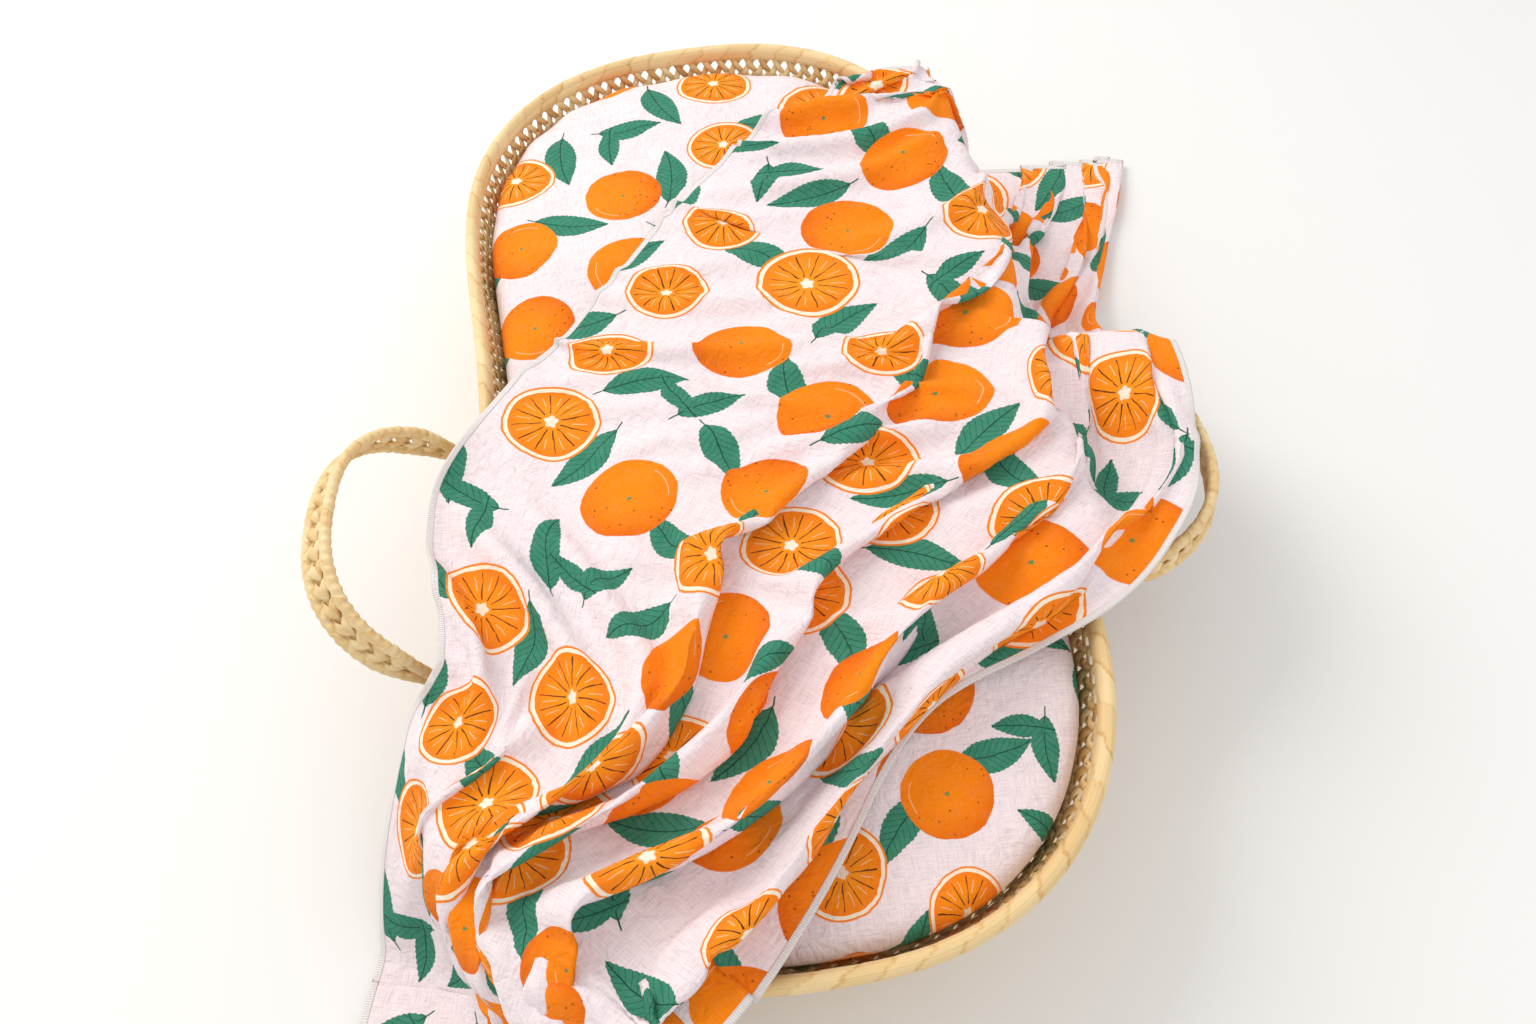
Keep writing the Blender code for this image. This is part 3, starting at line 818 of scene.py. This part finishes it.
# How far the cover draws in from the wall at shares of its height.
sheet_profile = [(0.0, 0.002), (0.12, 0.0008), (0.25, 0.0), (0.40, 0.0), (0.55, 0.0), (0.70, 0.001),
                 (0.80, 0.0015), (0.88, 0.0025), (0.94, 0.0045), (0.98, 0.008), (1.01, 0.0125),
                 (1.03, 0.018)]
sheet_angles, _ = even_angles(SHEET_STATIONS, 0.03)
sheet_bm = bmesh.new()
sheet_uv = sheet_bm.loops.layers.uv.new("UVMap")
sheet_rings = []
for share, draw_in in sheet_profile:
    z = SHEET_FLOOR + share * (SHEET_TOP - SHEET_FLOOR)
    inset = wall_inset(z) + WALL_THICK / 2 + SHEET_GAP + draw_in
    sheet_rings.append([sheet_bm.verts.new(sheet_point(a, inset, z, 0.0))
                        for a in sheet_angles[:-1]])
top_inset = wall_inset(SHEET_TOP) + WALL_THICK / 2 + SHEET_GAP + 0.026
shelf = 16
for k in range(shelf):
    share = k / shelf
    inset = top_inset + share * (OVAL_FULL_WIDTH * (1 - OVAL_WAIST) / 2 - top_inset - 0.004)
    crown = 1 - (1 - share) ** 2.2
    sheet_rings.append([sheet_bm.verts.new(sheet_point(a, inset, SHEET_TOP + 0.005, crown))
                        for a in sheet_angles[:-1]])
for first, second in zip(sheet_rings, sheet_rings[1:]):
    for i in range(SHEET_STATIONS):
        j = (i + 1) % SHEET_STATIONS
        sheet_bm.faces.new((first[i], first[j], second[j], second[i]))
sheet_bm.faces.new(sheet_rings[-1])
bmesh.ops.triangulate(sheet_bm, faces=[f for f in sheet_bm.faces if len(f.verts) > 4])
# The print is pulled larger towards the head end, and it runs on down the sides.
for face in sheet_bm.faces:
    for loop in face.loops:
        co = loop.vert.co
        drop = max(0.0, SHEET_TOP * 0.93 - co.z)
        reach = Vector((co.x, co.y)).normalized() * drop
        along = co.y + reach.y
        loop[sheet_uv].uv = ((co.x + reach.x) * (1.12 - 0.55 * along) + 0.027,
                             along * (1.12 - 0.275 * along) + 0.031)
bmesh.ops.recalc_face_normals(sheet_bm, faces=sheet_bm.faces[:])
fitted = add_object("fitted_sheet_cover", sheet_bm)
fitted.data.materials.append(muslin_material("printed muslin sheet", crinkle=0.55))
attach(fitted, "mattress")
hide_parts("fitted_sheet")
for name, tint, roughness in (("mattress_core", (0.86, 0.83, 0.74), 0.9),
                              ("sheet_elastic", (0.90, 0.90, 0.88), 0.6)):
    hidden, look = new_material(name.replace("_", " "))
    kit = Shading(hidden.node_tree)
    cells = kit.texture("Voronoi", Scale=900.0)["Distance"]
    kit.put(look["Base Color"], kit.mix(cells, tuple(c * 0.86 for c in tint), tint))
    look["Roughness"].default_value = roughness
    repaint(name, hidden)


# Swaddle blanket: one sheet of the same muslin, gathered into long folds, thrown slantwise
# over the middle and out over the rim. It is laid in loose pleats and then left to settle.
BLANKET_LENGTH = 1.15
BLANKET_WIDTH = 0.69
GRID = 0.0105
CELL = 0.012
BOLSTER = 0.0095
CLEAR_OF_GROUND = 0.006
LAYER_GAP = 0.0085
PLEAT_FOOT = 0.030
ROW_STOPS = 60
LEFT_SIDE = ((0.150, 0.318), (0.120, 0.305), (0.082, 0.290), (0.045, 0.272), (0.000, 0.230),
             (-0.045, 0.175), (-0.087, 0.119), (-0.137, 0.060), (-0.190, 0.010), (-0.226, -0.050),
             (-0.222, -0.110), (-0.205, -0.170), (-0.208, -0.225), (-0.248, -0.245),
             (-0.278, -0.290), (-0.296, -0.350), (-0.305, -0.410))
RIGHT_SIDE = ((0.400, 0.340), (0.398, 0.280), (0.372, 0.225), (0.335, 0.148), (0.305, 0.060),
              (0.313, -0.020), (0.312, -0.090), (0.290, -0.160), (0.210, -0.228), (0.140, -0.245),
              (0.085, -0.265), (0.040, -0.320), (0.000, -0.374), (-0.030, -0.415),
              (-0.062, -0.430), (-0.095, -0.445), (-0.130, -0.455))
PLEATS = ((0.46, 0.62, 0.77, 0.91), (0.36, 0.54, 0.72, 0.89), (0.18, 0.41, 0.64, 0.86))


def along_side(side, share):
    place = min(max(share, 0.0), 1.0) * (len(side) - 1)
    first = min(int(place), len(side) - 2)
    return Vector(side[first]).lerp(Vector(side[first + 1]), place - first)


# What the blanket lies on, as one plain mesh. A bolster stands for the rim, thicker than it,
# because the cloth can't bend sharply over it.
ground_bm = bmesh.new()
resting = [frame["nodes"][n] for n in frame["nodes"]
           if n.startswith("wall_course") or n.endswith(("strap", "edge_inner", "edge_outer"))]
for solid in [*resting, fitted]:
    ground_bm.from_mesh(solid.data)
ring_angles, _ = even_angles(160, RIM_RADIUS)
bolster = []
for angle in ring_angles[:-1]:
    bolster.append([ground_bm.verts.new((*oval_point(angle, RIM_RADIUS - BOLSTER * math.cos(turn)),
                                         RIM_TOP - 0.0075 + BOLSTER * math.sin(turn)))
                    for turn in (2 * math.pi * k / 10 for k in range(10))])
for i, first in enumerate(bolster):
    second = bolster[(i + 1) % len(bolster)]
    for k in range(10):
        beside = (k + 1) % 10
        ground_bm.faces.new((first[k], second[k], second[beside], first[beside]))
bmesh.ops.triangulate(ground_bm, faces=ground_bm.faces[:])
bmesh.ops.create_grid(ground_bm, x_segments=2, y_segments=2, size=1.2)
ground = add_object("ground_for_blanket", ground_bm, smooth=False)
tree = BVHTree.FromObject(ground, bpy.context.evaluated_depsgraph_get())


def height_under(x, y):
    hit = tree.ray_cast(Vector((x, y, 1.0)), Vector((0, 0, -1)))
    return hit[0].z if hit[0] is not None else 0.0


cells_x = np.arange(-0.46, 0.56, CELL)
cells_y = np.arange(-0.62, 0.52, CELL)
heights = np.array([[height_under(x, y) for y in cells_y] for x in cells_x])
for _ in range(2):
    padded = np.pad(heights, 1, mode="edge")
    heights = np.max([padded[a:a + heights.shape[0], b:b + heights.shape[1]]
                      for a in range(3) for b in range(3)], axis=0)
for _ in range(3):
    padded = np.pad(heights, 1, mode="edge")
    heights = np.maximum(heights, np.mean([padded[a:a + heights.shape[0], b:b + heights.shape[1]]
                                           for a in range(3) for b in range(3)], axis=0))


def tent_height(x, y):
    """Height of the ground as cloth meets it, widened and smoothed, between its cells."""
    i = np.clip((x - cells_x[0]) / CELL, 0, len(cells_x) - 1.001)
    j = np.clip((y - cells_y[0]) / CELL, 0, len(cells_y) - 1.001)
    a, b = i.astype(int), j.astype(int)
    f, g = i - a, j - b
    return ((heights[a, b] * (1 - f) + heights[a + 1, b] * f) * (1 - g)
            + (heights[a, b + 1] * (1 - f) + heights[a + 1, b + 1] * f) * g)


def pleat_place(number, share):
    place = share * 2
    first = min(int(place), 1)
    wander = 0.018 * noise.noise(Vector((share * 5, number * 3.7, 1.0)))
    return (PLEATS[first][number] + (PLEATS[first + 1][number] - PLEATS[first][number])
            * (place - first) + wander)


def tent_run(start, end, count):
    """Distance run over the tent between two plan points, at evenly spaced stops."""
    stops = [start.lerp(end, k / count) for k in range(count + 1)]
    solid = [Vector((*spot, tent_height(*spot))) for spot in stops]
    steps = [(far - near).length for near, far in zip(solid, solid[1:])]
    return np.concatenate([[0], np.cumsum(steps)])


def middle_run():
    """Distance run down the blanket, taken as the mean of five of its threads."""
    shares = np.linspace(0, 1, 401)
    runs = []
    for lie in (0.1, 0.3, 0.5, 0.7, 0.9):
        spots = [along_side(LEFT_SIDE, s).lerp(along_side(RIGHT_SIDE, s), lie) for s in shares]
        solid = np.array([(*spot, tent_height(*spot)) for spot in spots])
        steps = np.linalg.norm(np.diff(solid, axis=0), axis=1)
        runs.append(np.concatenate([[0], np.cumsum(steps)]))
    return shares, np.mean(runs, axis=0)


columns = round(BLANKET_WIDTH / GRID)
rows = round(BLANKET_LENGTH / GRID)
flat = []
laid = []
shares, share_run = middle_run()
for r in range(rows + 1):
    share = float(np.interp(r / rows * share_run[-1], share_run, shares))
    left, right = along_side(LEFT_SIDE, share), along_side(RIGHT_SIDE, share)
    direction = (right - left).normalized()
    row_run = tent_run(left, right, ROW_STOPS)
    width = float(row_run[-1])
    spare = max(0.0, BLANKET_WIDTH - width)
    weights = [0.7 + 0.9 * (0.5 + noise.noise(Vector((share * 3.1, n * 5.3, 7.0))))
               for n in range(len(PLEATS[0]))]
    takes = [spare * w / sum(weights) for w in weights]
    centres = [pleat_place(n, share) * BLANKET_WIDTH for n in range(len(PLEATS[0]))]
    spans = [take + PLEAT_FOOT for take in takes]
    for c in range(columns + 1):
        t = c / columns * BLANKET_WIDTH
        x = t
        lift = 0.0
        push = 0.0
        for centre, take, span in zip(centres, takes, spans):
            inside = (t - (centre - span / 2)) / span
            if inside <= 0:
                continue
            inside = min(inside, 1.0)
            x -= take * inside
            if inside < 1:
                bump = math.sin(math.pi * inside)
                tall = 0.46 * math.sqrt(max(span ** 2 - PLEAT_FOOT ** 2, 0.0))
                lift += tall * bump
                push += 0.45 * tall * bump
        x *= width / max(BLANKET_WIDTH - spare, 1e-6)
        place = float(np.interp(x, row_run, np.linspace(0, 1, ROW_STOPS + 1)))
        spot = left.lerp(right, place)
        z = tent_height(spot.x, spot.y) + 0.010 + lift
        spot = spot + direction * push
        laid.append((spot.x, spot.y, z))
        flat.append((t, r * GRID))


def part_layers(spots):
    """Moves cloth that lies closer than LAYER_GAP to another fold away from it."""
    near = KDTree(len(spots))
    for index, spot in enumerate(spots):
        near.insert(spot, index)
    near.balance()
    side = columns + 1
    moves = np.zeros_like(spots)
    for index, spot in enumerate(spots):
        row, column = divmod(index, side)
        for other, beside, gap in near.find_range(spot, LAYER_GAP):
            far_row, far_column = divmod(beside, side)
            if beside > index and max(abs(far_row - row), abs(far_column - column)) > 2:
                push = (np.array(spot) - np.array(other)) * (0.3 * (LAYER_GAP / max(gap, 1e-5) - 1))
                push = np.clip(push, -0.002, 0.002)
                moves[index] += push
                moves[beside] -= push
    spots += np.clip(moves, -0.003, 0.003)


def ease(places, passes):
    """Brings every thread of the laid cloth to its cut length, above what it lies on."""
    grid = np.array(places).reshape(rows + 1, columns + 1, 3)
    goal = grid.copy()
    reach_u = BLANKET_WIDTH / columns
    slant = math.hypot(reach_u, GRID)
    hold = np.zeros(grid.shape[:2])
    hold[:, :3] = 0.03
    hold[:, -3:] = 0.03
    # Each pass lets the cloth sink a little, and its two ends sink more, so they lie flat.
    ends = np.minimum(np.arange(rows + 1), rows - np.arange(rows + 1))
    press = (0.00013 + 0.0005 * np.exp(-(ends / 11.0) ** 2))[:, None]
    for turn in range(passes):
        for near, far, length in (
                (grid[:, 0:-1:2], grid[:, 1::2], reach_u), (grid[:, 1:-1:2], grid[:, 2::2], reach_u),
                (grid[0:-1:2], grid[1::2], GRID), (grid[1:-1:2], grid[2::2], GRID),
                (grid[0:-1:2, :-1], grid[1::2, 1:], slant), (grid[1:-1:2, :-1], grid[2::2, 1:], slant),
                (grid[0:-1:2, 1:], grid[1::2, :-1], slant), (grid[1:-1:2, 1:], grid[2::2, :-1], slant)):
            share = min(len(near), len(far))
            near, far = near[:share], far[:share]
            wide = min(near.shape[1], far.shape[1])
            near, far = near[:, :wide], far[:, :wide]
            gap = far - near
            size = np.linalg.norm(gap, axis=2, keepdims=True)
            move = gap * (0.5 * (1 - length / np.maximum(size, 1e-9)))
            near += move
            far -= move
        soft = 0.10 if turn < passes * 0.8 else 0.03
        even = (grid[:-2, 1:-1] + grid[2:, 1:-1] + grid[1:-1, :-2] + grid[1:-1, 2:]) / 4
        grid[1:-1, 1:-1] += (even - grid[1:-1, 1:-1]) * soft
        grid[..., :2] += (goal[..., :2] - grid[..., :2]) * (hold[..., None] + 0.002)
        grid[..., 2] -= press
        under = tent_height(grid[..., 0], grid[..., 1])
        grid[..., 2] = np.maximum(grid[..., 2], under + CLEAR_OF_GROUND)
        if turn > passes * 0.25 and turn % 6 == 0:
            part_layers(grid.reshape(-1, 3))
    return [tuple(spot) for spot in grid.reshape(-1, 3).tolist()]


laid = ease(laid, 260)
quads = [(r * (columns + 1) + c, r * (columns + 1) + c + 1, (r + 1) * (columns + 1) + c + 1,
          (r + 1) * (columns + 1) + c) for r in range(rows) for c in range(columns)]
cloth_mesh = bpy.data.meshes.new("swaddle_blanket_cloth")
cloth_mesh.from_pydata(laid, [], quads)
cloth_uv = cloth_mesh.uv_layers.new(name="UVMap")
for loop in cloth_mesh.loops:  # the print is pulled larger towards the head end
    across, down = flat[loop.vertex_index]
    cloth_uv.data[loop.index].uv = (across * (0.86 + 0.26 * down), down * (0.86 + 0.13 * down))
blanket = bpy.data.objects.new("swaddle_blanket_cloth", cloth_mesh)
bpy.context.scene.collection.objects.link(blanket)
bpy.data.objects.remove(ground)
blanket.data.shade_smooth()
blanket.data.materials.append(muslin_material("printed muslin blanket", crinkle=0.55))
round_off = blanket.modifiers.new("round", "SUBSURF")
round_off.levels = 1
round_off.render_levels = 1
gauze = blanket.modifiers.new("gauze", "SOLIDIFY")
gauze.thickness = 0.0011
gauze.offset = 0.0
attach(blanket, "blanket")
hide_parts("swaddle_blanket")


# Hem: the blanket's edge, overlocked all round in white thread.
def hem_strip():
    side = columns + 1
    border = ([(0, c) for c in range(columns)] + [(r, columns) for r in range(rows)]
              + [(rows, c) for c in range(columns, 0, -1)] + [(r, 0) for r in range(rows, 0, -1)])
    mesh = blanket.data
    mesh.update()
    bm = bmesh.new()
    uv = bm.loops.layers.uv.new("UVMap")
    loops = []
    run = 0.0
    last = None
    for r, c in border:
        outer = mesh.vertices[r * side + c]
        inward = (min(max(r, 1), rows - 1)) * side + min(max(c, 1), columns - 1)
        inner = mesh.vertices[inward]
        over = outer.co + (outer.co - inner.co) * 0.02
        if last is not None:
            run += (over - last).length
        last = over
        under = outer.co.lerp(inner.co, 0.40)
        loops.append((bm.verts.new(over), bm.verts.new(outer.co.lerp(inner.co, 0.26)),
                      bm.verts.new(under), run))
    for i, first in enumerate(loops):
        second = loops[(i + 1) % len(loops)]
        far = second[3] if i + 1 < len(loops) else first[3] + GRID
        for k in (0, 1):
            face = bm.faces.new((first[k], first[k + 1], second[k + 1], second[k]))
            for loop, place in zip(face.loops, ((first[3], k), (first[3], k + 1),
                                                (far, k + 1), (far, k))):
                loop[uv].uv = (place[0], place[1] * 0.0035)
    return add_object("swaddle_blanket_hem", bm)


hem = hem_strip()
hem_round = hem.modifiers.new("round", "SUBSURF")
hem_round.levels = 1
hem_round.render_levels = 1
hem_thick = hem.modifiers.new("thread", "SOLIDIFY")
hem_thick.thickness = 0.0017
hem_thick.offset = 0.0
overlock, look = new_material("white overlock thread")
kit = Shading(overlock.node_tree)
stitches = kit.texture("Wave", kit.nodes.new("ShaderNodeTexCoord").outputs["UV"], Scale=210.0,
                       Distortion=1.5)["Fac"]
kit.put(look["Base Color"], kit.mix(stitches, (0.84, 0.76, 0.75), (0.96, 0.94, 0.92)))
kit.put(look["Normal"], kit.bump(stitches, 0.6, 0.001))
look["Roughness"].default_value = 0.85
hem.data.materials.append(overlock)
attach(hem, "blanket")
